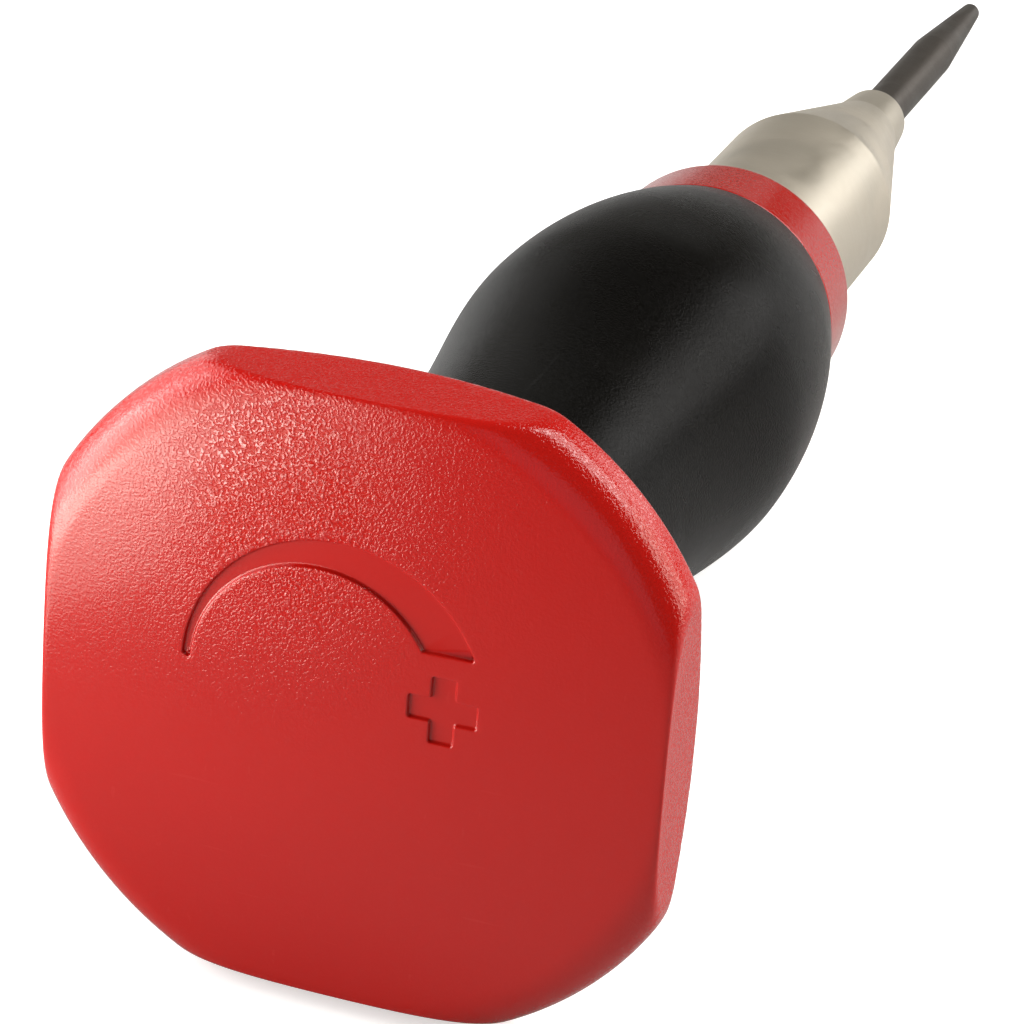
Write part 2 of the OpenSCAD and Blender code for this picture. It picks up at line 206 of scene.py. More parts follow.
def objectPlace(tree, stretch=(1, 1, 1)):
    # the surface point in mm, pulled out along an axis where stretch is small
    place = put(tree, "ShaderNodeTexCoord")
    scaled = put(tree, "ShaderNodeMapping")
    scaled.inputs["Scale"].default_value = [s / mm for s in stretch]
    wire(tree, place.outputs["Object"], scaled.inputs["Vector"])
    return scaled.outputs["Vector"]


grainShape = {
    "ridgeScale": 1.5, "pebbleScale": 1.1, "ridgeShare": 0.8, "pebbleShare": 0.2,
    # narrow limits leave flat tops and flat valleys with short slopes between them
    "ridgeLimits": (0.42, 0.6), "pebbleLimits": (0.1, 0.5),
    # the tops are polished, and where the grain is rubbed down the polish is even
    "polishLimits": (0.3, 0.7), "evenPolish": 0.5, "maskLimits": (0.6, 1.8), "polishShare": (0.0, 0.75),
}


def makeMouldGrain(shape):
    # eroded tool texture of moulded plastic: wavy ridges, about 1 / Density mm apart, and small pebbles
    group, given, made = newGroup(
        "mouldGrain", {"Density": 3.0, "Mask": 1.0, "Wander": 0.2}, ["Height", "Tone", "Polish"])
    density, mask = given.outputs["Density"], given.outputs["Mask"]
    spot = objectPlace(group)
    drift = put(group, "ShaderNodeTexNoise", {"Detail": 1.0})
    push = put(group, "ShaderNodeVectorMath", operation="MULTIPLY_ADD")
    ridges = put(group, "ShaderNodeTexNoise", {"Detail": 1.0, "Roughness": 0.45})
    cells = put(group, "ShaderNodeTexVoronoi")
    wire(group,
         spot, drift.inputs["Vector"],
         density, drift.inputs["Scale"],
         drift.outputs["Color"], push.inputs[0],
         given.outputs["Wander"], push.inputs[1],
         spot, push.inputs[2],
         push.outputs["Vector"], ridges.inputs["Vector"],
         sums(group, "MULTIPLY", density, shape["ridgeScale"]), ridges.inputs["Scale"],
         push.outputs["Vector"], cells.inputs["Vector"],
         sums(group, "MULTIPLY", density, shape["pebbleScale"]), cells.inputs["Scale"])
    ridge = spread(group, ridges.outputs["Fac"], *shape["ridgeLimits"])
    pebble = spread(group, cells.outputs["Distance"], *shape["pebbleLimits"], 1.0, 0.0)
    mixed = sums(group, "ADD", sums(group, "MULTIPLY", ridge, shape["ridgeShare"]),
                 sums(group, "MULTIPLY", pebble, shape["pebbleShare"]))
    polish = sums(group, "SUBTRACT", spread(group, mixed, *shape["polishLimits"]), shape["evenPolish"])
    uneven = sums(group, "MULTIPLY", polish,
                  spread(group, mask, *shape["maskLimits"], *shape["polishShare"]))
    wire(group,
         sums(group, "MULTIPLY", mixed, mask), made.inputs["Height"],
         mixed, made.inputs["Tone"],
         sums(group, "ADD", uneven, shape["evenPolish"]), made.inputs["Polish"])
    return group


marksShape = {
    "smudgeLimits": (0.38, 0.68), "hairLimits": (0.74, 0.8),
    "hairStretch": ((0.9, 0.05, 0.35), (0.06, 0.5, 0.9)),
}


def makeHandMarks(shape):
    # smudges from handling and a few fine hair scratches
    group, given, made = newGroup(
        "handMarks", {"Size": 12.0, "Scratches": 0.3}, ["Smudge", "Scratch"])
    cloud = put(group, "ShaderNodeTexNoise", {"Detail": 4.0, "Roughness": 0.55, "Distortion": 0.8})
    wire(group,
         objectPlace(group), cloud.inputs["Vector"],
         sums(group, "DIVIDE", 1.0, given.outputs["Size"]), cloud.inputs["Scale"],
         spread(group, cloud.outputs["Fac"], *shape["smudgeLimits"]), made.inputs["Smudge"])
    hairs = []
    for stretch in shape["hairStretch"]:
        hair = put(group, "ShaderNodeTexNoise", {"Scale": 3.2, "Detail": 1.0, "Distortion": 0.25})
        wire(group, objectPlace(group, stretch), hair.inputs["Vector"])
        hairs.append(spread(group, hair.outputs["Fac"], *shape["hairLimits"]))
    both = sums(group, "MAXIMUM", *hairs)
    wire(group, sums(group, "MULTIPLY", both, given.outputs["Scratches"]), made.inputs["Scratch"])
    return group


ringsShape = {"stretch": (0.02, 1, 0.02), "limits": (0.25, 0.75)}


def makeLatheRings(shape):
    # fine rings that a turning tool leaves round the axis
    group, given, made = newGroup(
        "latheRings", {"Pitch": 0.12, "Break up": 0.35}, ["Height", "Shade"])
    rings = put(group, "ShaderNodeTexNoise", {"Detail": 3.0, "Roughness": 0.7})
    broken = put(group, "ShaderNodeTexNoise", {"Scale": 0.9, "Detail": 2.0})
    wire(group,
         objectPlace(group, shape["stretch"]), rings.inputs["Vector"],
         sums(group, "DIVIDE", 1.0, given.outputs["Pitch"]), rings.inputs["Scale"],
         objectPlace(group), broken.inputs["Vector"])
    ring = spread(group, rings.outputs["Fac"], *shape["limits"])
    gap = sums(group, "MULTIPLY", broken.outputs["Fac"], given.outputs["Break up"])
    wire(group,
         sums(group, "SUBTRACT", ring, gap), made.inputs["Height"],
         ring, made.inputs["Shade"])
    return group


rubShape = {"patchLimits": (0.35, 0.6)}


def makeEdgeRub(shape):
    # bright line where an edge is rubbed, broken up so that it isn't even
    group, given, made = newGroup("edgeRub", {"Start": 0.52, "End": 0.62}, ["Mask"])
    form = put(group, "ShaderNodeNewGeometry")
    patch = put(group, "ShaderNodeTexNoise", {"Scale": 1.1, "Detail": 3.0})
    limits = put(group, "ShaderNodeMapRange")
    wire(group,
         form.outputs["Pointiness"], limits.inputs["Value"],
         given.outputs["Start"], limits.inputs["From Min"],
         given.outputs["End"], limits.inputs["From Max"],
         objectPlace(group), patch.inputs["Vector"])
    wire(group,
         sums(group, "MULTIPLY", limits.outputs["Result"],
              spread(group, patch.outputs["Fac"], *shape["patchLimits"])), made.inputs["Mask"])
    return group


mouldGrain = makeMouldGrain(grainShape)
handMarks = makeHandMarks(marksShape)
latheRings = makeLatheRings(ringsShape)
edgeRub = makeEdgeRub(rubShape)
print("shader groups ready")


# Finishes


def startFinish(name, roughness, **fixed):
    material = bpy.data.materials.new(name)
    material.use_nodes = True
    tree = material.node_tree
    shader = tree.nodes["Principled BSDF"]
    shader.inputs["Roughness"].default_value = roughness
    for label, value in fixed.items():
        shader.inputs[label].default_value = value
    return material, tree, shader


def useGroup(tree, group, **values):
    return put(tree, "ShaderNodeGroup", values, node_tree=group)


def tint(tree, first, second, factor):
    # mixes two colours; either may be a plain colour or the result of another mix
    node = put(tree, "ShaderNodeMix", data_type="RGBA")
    colourIn = [s for s in node.inputs if s.type == "RGBA"]
    for socket, value in zip(colourIn, (first, second)):
        if isinstance(value, tuple):
            socket.default_value = (*value, 1)
        else:
            tree.links.new(value, socket)
    tree.links.new(factor, node.inputs["Factor"])
    return next(s for s in node.outputs if s.type == "RGBA")


def liftSurface(tree, shader, height, depth):
    # a coat follows the same grain as the face under it
    bump = put(tree, "ShaderNodeBump", {"Strength": 1.0, "Distance": depth * mm})
    wire(tree, height, bump.inputs["Height"])
    for label in ("Normal", "Coat Normal"):
        wire(tree, bump.outputs["Normal"], shader.inputs[label])


def makePlastic(name, look):
    material, tree, shader = startFinish(name, look["gloss"], **look["fixed"])
    grain = useGroup(tree, mouldGrain, Density=look["grainDensity"], Wander=look["wander"])
    marks = useGroup(tree, handMarks, Size=look["smudgeSize"], Scratches=look["scratches"])
    if look["masked"]:
        mask = put(tree, "ShaderNodeAttribute", attribute_name="grain")
        wire(tree, mask.outputs["Fac"], grain.inputs["Mask"])
    pale = tint(tree, look["colour"], look["peakColour"],
                spread(tree, grain.outputs["Tone"], *look["peakLimits"], 0.0, look["peakShare"]))
    shade = tint(tree, pale, look["smudgeColour"],
                 sums(tree, "MULTIPLY", marks.outputs["Smudge"], look["smudgeShare"]))
    rubbed = tint(tree, shade, look["scratchColour"], marks.outputs["Scratch"])
    rough = sums(tree, "ADD", look["gloss"],
                 sums(tree, "MULTIPLY", marks.outputs["Smudge"], look["smudgeRough"]))
    wire(tree, rubbed, shader.inputs["Base Color"], rough, shader.inputs["Roughness"])
    if look["coated"]:
        wire(tree, grain.outputs["Polish"], shader.inputs["Coat Weight"])
    liftSurface(tree, shader, grain.outputs["Height"], look["grainDepth"])
    return material


def makeMetal(name, look):
    material, tree, shader = startFinish(name, look["gloss"], Metallic=look["metal"])
    rings = useGroup(tree, latheRings, Pitch=look["pitch"])
    marks = useGroup(tree, handMarks, Size=look["smudgeSize"], Scratches=look["scratches"])
    rub = useGroup(tree, edgeRub)
    banded = tint(tree, look["colour"], look["ringColour"],
                  sums(tree, "MULTIPLY", rings.outputs["Shade"], look["ringShare"]))
    stained = tint(tree, banded, look["stainColour"],
                   sums(tree, "MULTIPLY", marks.outputs["Smudge"], look["stainShare"]))
    bright = tint(tree, stained, look["edgeColour"],
                  sums(tree, "MULTIPLY", rub.outputs["Mask"], look["edgeShare"]))
    rough = sums(tree, "ADD", look["gloss"],
                 sums(tree, "MULTIPLY", marks.outputs["Smudge"], look["stainRough"]))
    scratched = sums(tree, "SUBTRACT", rings.outputs["Height"], marks.outputs["Scratch"])
    wire(tree, bright, shader.inputs["Base Color"], rough, shader.inputs["Roughness"])
    liftSurface(tree, shader, scratched, look["ringDepth"])
    return material


redLook = {
    "colour": (0.398, 0.0055, 0.0036), "peakColour": (0.432, 0.0075, 0.005), "peakShare": 0.3,
    "smudgeColour": (0.356, 0.0045, 0.0036), "smudgeShare": 0.25, "smudgeRough": 0.05,
    "scratchColour": (0.7, 0.08, 0.07), "scratches": 0.04, "smudgeSize": 14.0,
    "gloss": 0.15, "coated": True,
    "fixed": {"IOR": 1.2, "Specular Tint": (1.0, 0.93, 0.82, 1.0), "Coat IOR": 1.58, "Coat Roughness": 0.12},
    "grainDensity": 4.4, "grainDepth": 0.0105, "wander": 0.1, "masked": True, "peakLimits": (0.55, 0.95),
}
ringLook = dict(
    redLook, masked=False, grainDepth=0.008, grainDensity=4.0, colour=(0.29, 0.0055, 0.0036),
    peakColour=(0.32, 0.007, 0.005), smudgeColour=(0.26, 0.0045, 0.0036))
gripLook = {
    "colour": (0.0006, 0.0006, 0.0006), "peakColour": (0.002, 0.002, 0.002), "peakShare": 0.4,
    "smudgeColour": (0.0014, 0.0012, 0.001), "smudgeShare": 0.5, "smudgeRough": 0.06,
    "scratchColour": (0.06, 0.06, 0.06), "scratches": 0.05, "smudgeSize": 9.0,
    "gloss": 0.24, "coated": False, "fixed": {"IOR": 1.145, "Specular Tint": (1.0, 0.91, 0.82, 1.0)},
    "grainDensity": 5.0, "grainDepth": 0.01, "wander": 0.2, "masked": False, "peakLimits": (0.55, 0.95),
}
sealLook = dict(gripLook, gloss=0.42, grainDepth=0.008)
nickelLook = {
    "colour": (0.62, 0.565, 0.47), "ringColour": (0.7, 0.65, 0.56), "ringShare": 0.5,
    "stainColour": (0.5, 0.45, 0.38), "stainShare": 0.35, "stainRough": 0.12,
    "edgeColour": (0.85, 0.82, 0.77), "edgeShare": 0.5, "smudgeSize": 7.0, "scratches": 0.4,
    "metal": 1.0, "gloss": 0.37, "pitch": 0.1, "ringDepth": 0.006,
}
darkSteelLook = dict(
    nickelLook, colour=(0.1, 0.088, 0.078), ringColour=(0.15, 0.135, 0.12),
    stainColour=(0.06, 0.05, 0.043), edgeColour=(0.45, 0.43, 0.4), gloss=0.38, pitch=0.08)
toolSteelLook = dict(
    nickelLook, colour=(0.46, 0.46, 0.465), ringColour=(0.58, 0.58, 0.58),
    stainColour=(0.3, 0.28, 0.25), gloss=0.3)
springSteelLook = dict(
    toolSteelLook, colour=(0.3, 0.3, 0.315), ringColour=(0.4, 0.4, 0.41), pitch=0.3, gloss=0.34)
bronzeLook = dict(
    nickelLook, colour=(0.55, 0.36, 0.16), ringColour=(0.68, 0.47, 0.24),
    stainColour=(0.33, 0.2, 0.09), edgeColour=(0.85, 0.66, 0.4), gloss=0.36)

redPlastic = makePlastic("redPlastic", redLook)
ringPlastic = makePlastic("ringPlastic", ringLook)
gripRubber = makePlastic("gripRubber", gripLook)
sealRubber = makePlastic("sealRubber", sealLook)
nickelPlate = makeMetal("nickelPlate", nickelLook)
darkSteel = makeMetal("darkSteel", darkSteelLook)
toolSteel = makeMetal("toolSteel", toolSteelLook)
springSteel = makeMetal("springSteel", springSteelLook)
bronze = makeMetal("bronze", bronzeLook)
print("finishes ready")


# Palm cap: low domed face with a rounded rim, four drafted flats, the turning sign and a hollow back

capShape = {
    "crown": 0.65, "rim": 2.4, "roll": 2.7, "rollPower": 2.4, "band": 1.0, "flatsWide": 35.5,
    "draft": 3.0, "backRadius": 13.5, "backEdge": 0.5, "soft": 0.4, "bandRound": 0.8, "backRound": 0.25,
    "freshGrain": 2.0, "wornGrain": 0.25, "edgeGrain": 1.3,
    "freshAt": (-4.0, 11.5), "freshSpan": (5.6, 7.5), "freshFall": 4,
    "columns": 384, "signRing": 12.6, "faceRows": 24, "rollRows": 48, "sideStep": 0.35, "cornerSteps": 8,
    "wellRadius": 8.35, "wellDeep": 5.5, "wellRound": 0.4, "mouthEdge": 0.2,
    "grooveRadius": 9.58, "grooveRoom": 0.02, "grooveRound": 0.1, "grooveLip": 0.05,
    "hubRadius": 6.0, "hubDeep": 2.2, "hubRound": 0.2, "screwRadius": 4.0,
}
signShape = {
    "outerCentre": (-0.76, 1.02), "outerRadius": 8.53, "innerCentre": (-1.86, 0.91), "innerRadius": 7.0,
    "thinEnd": 177.5, "wideEnd": 4.5, "corner": 0.14, "cornerSteps": 5, "arcSteps": 60,
    "plusCentre": (5.47, 1.33), "plusSpan": 3.82, "plusArm": 1.34,
    # outline offset inwards and depth below the face, from the lip to the floor
    "wall": ((-0.3, 0.0), (-0.1, 0.0), (-0.06, 0.006), (-0.03, 0.025), (-0.005, 0.07),
             (0.02, 0.15), (0.05, 0.205), (0.085, 0.22), (0.128, 0.22)),
    "grainDeep": 0.03,  # the walls and the floor have no grain below this depth
    # a loose net of points keeps the triangles of the plain face even
    "netCells": 12, "netEdge": 0.7, "netClear": 1.1,
}


def faceDrop(radius, shape):
    rimStart = capRadius - shape["rim"]
    return shape["crown"] * (radius / rimStart) ** 2


def arcPoints(centre, radius, start, end, steps):
    return [
        (centre[0] + radius * math.cos(math.radians(start + (end - start) * k / steps)),
         centre[1] + radius * math.sin(math.radians(start + (end - start) * k / steps)))
        for k in range(steps + 1)
    ]


def crescentOutline(sign):
    # two arcs that run close together at the left and are cut level at the right
    steps = sign["arcSteps"]
    sides = []
    for side in ("outer", "inner"):
        centre, radius = sign[side + "Centre"], sign[side + "Radius"]
        wideEnd = math.degrees(math.asin((sign["wideEnd"] - centre[1]) / radius))
        sides.append(arcPoints(centre, radius, sign["thinEnd"], wideEnd, steps))
    corners = [(*p, 0) for p in sides[0] + sides[1][::-1]]
    for i in (0, steps, steps + 1, 2 * steps + 1):
        corners[i] = (*corners[i][:2], sign["corner"])
    return rounded(corners, closed=True, steps=sign["cornerSteps"])


def plusOutline(sign):
    cx, cy = sign["plusCentre"]
    far, near = sign["plusSpan"] / 2, sign["plusArm"] / 2
    corners = []
    for c, s in ((1, 0), (0, 1), (-1, 0), (0, -1)):
        for a, b in ((far, -near), (far, near), (near, near)):
            corners.append((cx + a * c - b * s, cy + a * s + b * c, sign["corner"]))
    return rounded(corners, closed=True, steps=sign["cornerSteps"])


def inset(outline, distance, leastLean=0.3):
    # moves an anticlockwise or clockwise outline inwards along its own normals
    count = len(outline)
    area = sum(outline[i - 1].cross(outline[i]) for i in range(count))
    side = 1 if area > 0 else -1
    moved = []
    for i, here in enumerate(outline):
        before = (here - outline[i - 1]).normalized()
        after = (outline[(i + 1) % count] - here).normalized()
        normal = Vector((-before.y - after.y, before.x + after.x))
        normal.normalize()
        lean = max(normal.dot(Vector((-after.y, after.x))), leastLean)
        moved.append(here + normal * (side * distance / lean))
    return moved


def signDisc(shape, sign):
    # middle of the face with the sunk crescent and plus: flat points, depths and triangles
    columns = shape["columns"]
    points = [
        Vector((shape["signRing"] * math.cos(2 * math.pi * k / columns),
                shape["signRing"] * math.sin(2 * math.pi * k / columns)))
        for k in range(columns)
    ]
    depths = [0.0] * columns
    edges = [(k, (k + 1) % columns) for k in range(columns)]
    outlines = [crescentOutline(sign), plusOutline(sign)]
    for outline in outlines:
        for distance, depth in sign["wall"]:
            loop = inset(outline, distance)
            first = len(points)
            points += loop
            depths += [depth] * len(loop)
            edges += [(first + k, first + (k + 1) % len(loop)) for k in range(len(loop))]
    net = shape["signRing"] / sign["netCells"]
    cells = range(1 - sign["netCells"], sign["netCells"])
    for i in cells:
        for j in cells:
            spot = Vector((i * net, j * net))
            clear = min((spot - p).length for outline in outlines for p in outline)
            inRing = spot.length < shape["signRing"] - net * sign["netEdge"]
            inSign = any(isInside(spot, outline) for outline in outlines)
            if inRing and clear > sign["netClear"] and not inSign:
                points.append(spot)
                depths.append(0.0)
    made = delaunay_2d_cdt(points, edges, [], 0, tiny)
    flat, faces, origins = made[0], made[2], made[3]
    return flat, [depths[o[0]] if o else 0.0 for o in origins], faces


def isInside(spot, outline):
    inside = False
    for i, here in enumerate(outline):
        before = outline[i - 1]
        if (here.y > spot.y) != (before.y > spot.y):
            cross = (before.x - here.x) * (spot.y - here.y) / (before.y - here.y) + here.x
            inside ^= spot.x < cross
    return inside


def capRows(shape):
    # (radius, depth below the top) from the face over the rim to the back edge
    height = capFace - capBack
    rollStart = capRadius - shape["roll"]
    rimAt = shape["crown"] + shape["rim"]
    rollDeep = rimAt - faceDrop(capRadius, shape)
    power = 2 / shape["rollPower"]
    rows = []
    for k in range(shape["faceRows"]):
        radius = shape["signRing"] + (rollStart - shape["signRing"]) * k / shape["faceRows"]
        rows.append((radius, faceDrop(radius, shape)))
    # the rim rolls over without a sudden change of curvature
    for k in range(shape["rollRows"] + 1):
        a = math.pi / 2 * k / shape["rollRows"]
        radius = rollStart + shape["roll"] * math.sin(a) ** power
        rows.append((radius, faceDrop(radius, shape) + rollDeep * (1 - math.cos(a) ** power)))
    side = rounded([
        (capRadius, rimAt, 0),
        (capRadius, rimAt + shape["band"], shape["bandRound"]),
        (shape["backRadius"], height - shape["backEdge"], shape["backRound"]),
        (shape["backRadius"] - shape["backEdge"], height, 0),
    ], steps=shape["cornerSteps"])
    dense = []
    for a, b in zip(side, side[1:]):
        pieces = max(1, round((b - a).length / shape["sideStep"]))
        dense += [tuple(a + (b - a) * (k + 1) / pieces) for k in range(pieces)]
    return rows + dense


def softFlat(radius, depth, angle, shape):
    # pulls a point of the round form in to the nearest flat, with a soft edge between them
    middle = shape["crown"] + shape["rim"] + shape["band"] / 2
    widest = shape["crown"] + shape["rim"] + shape["band"]
    slope = math.tan(math.radians(shape["draft"]))
    along = Vector((radius, depth - middle))
    full = along.length
    dr, du = along / full
    turned = (angle + math.pi / 4) % (math.pi / 2) - math.pi / 4
    flatAt = shape["flatsWide"] / 2 + slope * (middle - widest)
    flat = flatAt / max(dr * math.cos(turned) - slope * du, tiny)
    blend = max(shape["soft"] - abs(full - flat), 0) / shape["soft"]
    kept = min(full, flat) - blend ** 2 * shape["soft"] / 4
    return kept * dr, middle + kept * du


def grainAt(x, z, onEdge, shape):
    # the grain is fresh along the upper edge and on the rim, and the palm has rubbed the rest down
    (middleX, middleZ), (spanX, spanZ) = shape["freshAt"], shape["freshSpan"]
    away = math.hypot((x - middleX) / spanX, (z - middleZ) / spanZ)
    face = shape["wornGrain"] + (shape["freshGrain"] - shape["wornGrain"]) / (1 + away ** shape["freshFall"])
    return face + (shape["edgeGrain"] - face) * onEdge


def makePalmCap(shape, sign):
    bm = bmesh.new()
    layer = bm.verts.layers.float.new("grain")
    flat, depths, faces = signDisc(shape, sign)
    discVerts = []
    for spot, depth in zip(flat, depths):
        drop = faceDrop(spot.length, shape) + depth
        vert = bm.verts.new((spot.x * mm, -(capFace - drop) * mm, spot.y * mm))
        vert[layer] = grainAt(spot.x, spot.y, 0, shape) if depth < sign["grainDeep"] else 0.0
        discVerts.append(vert)
    for face in faces:
        bm.faces.new([discVerts[i] for i in face])
    columns = shape["columns"]
    height = capFace - capBack
    rows = []
    for radius, depth in capRows(shape):
        row = []
        onEdge = min(max(depth - faceDrop(capRadius - shape["roll"], shape), 0), 1)
        for k in range(columns):
            angle = 2 * math.pi * k / columns
            r, u = softFlat(radius, depth, angle, shape) if rows else (radius, depth)
            x, z = r * math.cos(angle), r * math.sin(angle)
            vert = bm.verts.new((x * mm, -(capFace - u) * mm, z * mm))
            vert[layer] = grainAt(x, z, onEdge, shape)
            row.append(vert)
        rows.append(row)
    groove = [capFace - dragFront + shape["grooveRoom"], capFace - dragBack - shape["grooveRoom"]]
    inside = rounded([
        (shape["backRadius"] - shape["backEdge"], height, 0),
        (shape["wellRadius"], height, shape["mouthEdge"]),
        (shape["wellRadius"], groove[0], shape["grooveLip"]),
        (shape["grooveRadius"], groove[0], shape["grooveRound"]),
        (shape["grooveRadius"], groove[1], shape["grooveRound"]),
        (shape["wellRadius"], groove[1], shape["grooveLip"]),
        (shape["wellRadius"], height - shape["wellDeep"], shape["wellRound"]),
        (shape["hubRadius"], height - shape["wellDeep"], shape["hubRound"]),
        (shape["hubRadius"], height - shape["hubDeep"], shape["hubRound"]),
        (shape["screwRadius"], height - shape["hubDeep"], 0),
    ])
    for radius, depth in inside[1:]:
        rows.append(turnedRow(bm, radius, capFace - depth, columns))
    rows.append(turnedRow(bm, 0, capFace - height + shape["hubDeep"], 1))
    joinRows(bm, rows)
    finishMesh("palmCap", bm, redPlastic, "cap", "palm_cap")


makePalmCap(capShape, signShape)


# Grip sleeve: full belly drawn in to the ring, slim waist behind the cap

gripShape = {
    "belly": 11.45, "waist": 9.2, "front": 9.0, "bellyAt": 15.7, "waistAt": 46.8, "swell": 1.9,
    "rearEdge": 0.9, "rearRound": 0.855, "frontEdge": 0.25, "bore": 8.02, "columns": 256, "rows": 180,
}


def gripRadius(at, shape):
    if at < shape["bellyAt"]:
        x = 1 - at / shape["bellyAt"]
        return shape["belly"] - (shape["belly"] - shape["front"]) * x ** 2
    x = max(shape["waistAt"] - at, 0) / (shape["waistAt"] - shape["bellyAt"])
    x = x ** shape["swell"]
    return shape["waist"] + (shape["belly"] - shape["waist"]) * x * x * (3 - 2 * x)


def makeGrip(shape):
    length = gripBack - gripFront
    profile = [(shape["bore"], gripFront, 0)]
    for k in range(shape["rows"] + 1):
        at = length * k / shape["rows"]
        corner = shape["frontEdge"] if k == 0 else 0
        if at < length - shape["rearEdge"]:
            profile.append((gripRadius(at, shape), gripFront + at, corner))
    profile.append((gripRadius(length, shape), gripBack, shape["rearRound"]))
    profile.append((shape["bore"], gripBack, 0))
    bm = turn(rounded(profile), shape["columns"], closed=True)
    finishMesh("gripSleeve", bm, gripRubber, "handle", "grip_sleeve")


makeGrip(gripShape)


# Handle core: the ring in front of the sleeve, and the tube that runs through it into the cap

coreShape = {
    "ringFront": 8.55, "ringBack": 9.0, "ringEdge": 0.8, "seamEdge": 0.2, "tube": 8.0, "tubeEdge": 0.3,
    "bore": 6.52, "boreEdge": 0.2, "mouth": 6.12, "mouthEdge": 0.15, "columns": 192, "cornerSteps": 8,
}


def makeCore(shape):
    profile = rounded([
        (shape["mouth"], barrelFront, 0),
        (shape["mouth"], coreFront, shape["mouthEdge"]),
        (shape["ringFront"], coreFront, shape["ringEdge"]),
        (shape["ringBack"], gripFront, shape["seamEdge"]),
        (shape["tube"], gripFront, 0),
        (shape["tube"], coreBack, shape["tubeEdge"]),
        (shape["bore"], coreBack, shape["boreEdge"]),
        (shape["bore"], barrelFront, 0),
    ], closed=True, steps=shape["cornerSteps"])
    bm = turn(profile, shape["columns"], closed=True)
    finishMesh("handleCore", bm, ringPlastic, "handle", "handle_core")


makeCore(coreShape)


# Nose: plated sleeve with its cone and neck, bored for the point, the bush and the collar

noseShape = {
    "end": 2.4, "neck": 2.85, "body": 6.5, "tenon": 6.1, "spigot": 5.55,
    "neckLong": 4.6, "coneLong": 15.7, "pointBore": 1.71, "spindleBore": 2.42, "spindleRoom": 0.25,
    "bushBore": 3.32, "bore": 4.6, "pointEdge": 0.15, "endEdge": 0.3, "neckRound": 0.8, "coneRound": 1.2,
    "seamEdge": 0.1, "spigotEdge": 0.2, "boreEdge": 0.1, "columns": 192, "cornerSteps": 8,
}


def makeNose(shape):
    cone = noseFront + shape["neckLong"]
    body = cone + shape["coneLong"]
    spindleStop = spindleFront - shape["spindleRoom"]
    profile = rounded([
        (shape["spindleBore"], bushFront, 0),
        (shape["spindleBore"], spindleStop, 0),
        (shape["pointBore"], spindleStop, 0),
        (shape["pointBore"], noseFront, shape["pointEdge"]),
        (shape["end"], noseFront, shape["endEdge"]),
        (shape["neck"], cone, shape["neckRound"]),
        (shape["body"], body, shape["coneRound"]),
        (shape["body"], coreFront, shape["seamEdge"]),
        (shape["tenon"], coreFront, 0),
        (shape["tenon"], barrelFront, 0),
        (shape["spigot"], barrelFront, 0),
        (shape["spigot"], noseBack, shape["spigotEdge"]),
        (shape["bore"], noseBack, shape["boreEdge"]),
        (shape["bore"], bushBack, 0),
        (shape["bushBore"], bushBack, 0),
        (shape["bushBore"], bushFront, 0),
    ], closed=True, steps=shape["cornerSteps"])
    bm = turn(profile, shape["columns"], closed=True)
    finishMesh("noseSleeve", bm, nickelPlate, "handle", "nose")


makeNose(noseShape)


# Punch point: plain shank, slim taper and the ground tip

pointShape = {
    "shank": 1.65, "shankEdge": 0.2, "root": 0.75, "rootRound": 0.25, "taperLong": 14.3, "taperRound": 1.5,
    "tipAngle": 60.0, "tipFlat": 0.12, "tipRound": 0.1, "columns": 96, "cornerSteps": 8,
}


def makePoint(shape):
    tipLong = shape["root"] / math.tan(math.radians(shape["tipAngle"] / 2))
    profile = rounded([
        (0, tipAt, 0),
        (shape["tipFlat"], tipAt + shape["tipFlat"] / 2, shape["tipRound"]),
        (shape["root"], tipAt + tipLong, shape["rootRound"]),
        (shape["shank"], tipAt + shape["taperLong"], shape["taperRound"]),
        (shape["shank"], pointBack, shape["shankEdge"]),
        (0, pointBack, 0),
    ], steps=shape["cornerSteps"])
    bm = turn(profile, shape["columns"])
    finishMesh("punchPoint", bm, darkSteel, "spindle", "punch_point")


makePoint(pointShape)


# Springs: round wire wound about the axis, with closed end turns; the tilt spring leans with its pin,
# and the main spring ends short of the seat, which is screwed towards it

springPlan = {
    "mainSpring": {
        "node": "main_spring", "body": "handle", "across": (7.4, 7.4), "wire": 1.2, "turns": 8,
        "from": 94.7, "to": 116.25, "joint": "hammer_lift", "fixedEnd": 116.3, "shortest": 0.63,
    },
    "returnSpring": {
        "node": "return_spring", "body": "handle", "across": (8.2, 8.2), "wire": 0.7, "turns": 9,
        "from": 54.7, "to": 77.55, "joint": "punch_stroke", "fixedEnd": 77.6, "shortest": 0.651,
    },
    "tiltSpring": {
        "node": "tilt_spring", "body": "trip_pin", "across": (6.7, 5.7), "wire": 0.5, "turns": 3.5,
        "from": 2.7, "to": 8.3, "foot": 52.25, "lean": 2.103,
    },
}
wireShape = {"perTurn": 36, "sides": 14, "endGap": 0.5}


def coilRise(turn, turns, height, endPitch):
    if turn < 1:
        return endPitch * turn
    if turn > turns - 1:
        return height - endPitch * (turns - turn)
    return endPitch + (height - 2 * endPitch) * (turn - 1) / (turns - 2)


def coilPath(plan, shape):
    # centre line of the wire, with the axis as its third coordinate
    turns, thick = plan["turns"], plan["wire"]
    first, last = plan["across"]
    points = []
    for i in range(round(turns * shape["perTurn"]) + 1):
        turn = i / shape["perTurn"]
        radius = (first + (last - first) * turn / turns) / 2
        rise = coilRise(turn, turns, plan["to"] - plan["from"] - thick, thick + shape["endGap"])
        angle = 2 * math.pi * turn
        points.append(Vector((
            radius * math.cos(angle), radius * math.sin(angle), plan["from"] + thick / 2 + rise)))
    return points


